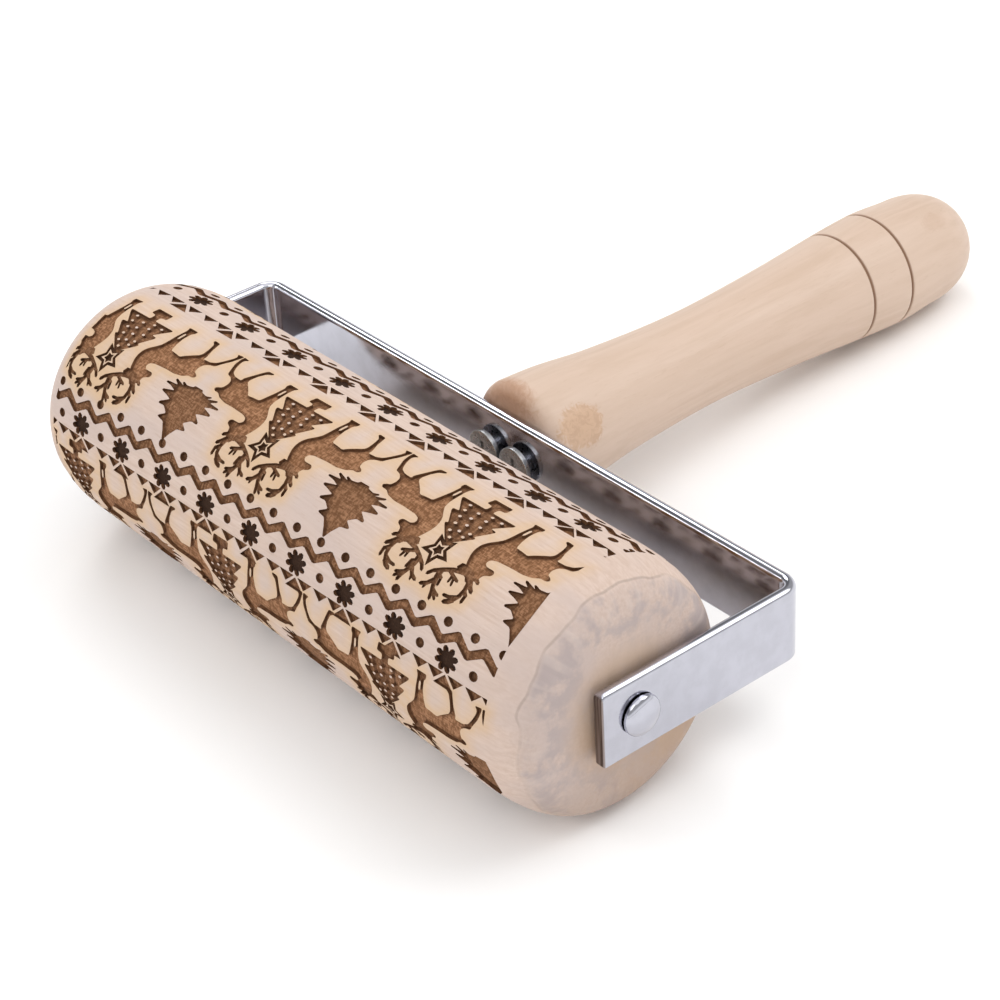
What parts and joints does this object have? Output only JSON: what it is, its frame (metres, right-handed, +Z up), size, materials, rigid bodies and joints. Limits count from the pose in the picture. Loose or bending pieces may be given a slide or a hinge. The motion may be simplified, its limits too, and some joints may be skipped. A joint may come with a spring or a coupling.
{
  "type": "embossed dough roller",
  "caption": "Engraved wooden roller turning on a steel rod in a bent chrome strip with a turned wooden handle, for pressing a pattern into dough.",
  "frame": {"origin": "on the table, under the centre of the whole tool as it lies on its roller and the swell of its handle", "axes": "+X along the roller, +Y from the roller towards the end of the handle, +Z up"},
  "size_m": [0.1644, 0.1918, 0.05],
  "materials": {
    "roller_wood": "bare sanded beech, laser engraved, matt",
    "handle_wood": "bare turned beech, smooth and matt",
    "chrome": "bright chrome plate",
    "steel": "drawn rod",
    "nylon": "natural nylon"
  },
  "bodies": {
    "holder": {"bracket": "chrome", "handle": "handle_wood", "axle_rod": "steel", "left_axle_cap": "chrome", "right_axle_cap": "chrome", "left_washer": "nylon", "right_washer": "nylon", "left_spacer": "nylon", "left_handle_screw": "chrome", "right_handle_screw": "chrome"},
    "roller": {"roller": "roller_wood", "left_bush": "nylon", "right_bush": "nylon"}
  },
  "joints": [
    {"name": "roller_spin", "type": "hinge", "parent": "holder", "child": "roller", "pos_m": [0, -0.07086, 0.025], "axis": [1, 0, 0], "continuous": true}
  ]
}
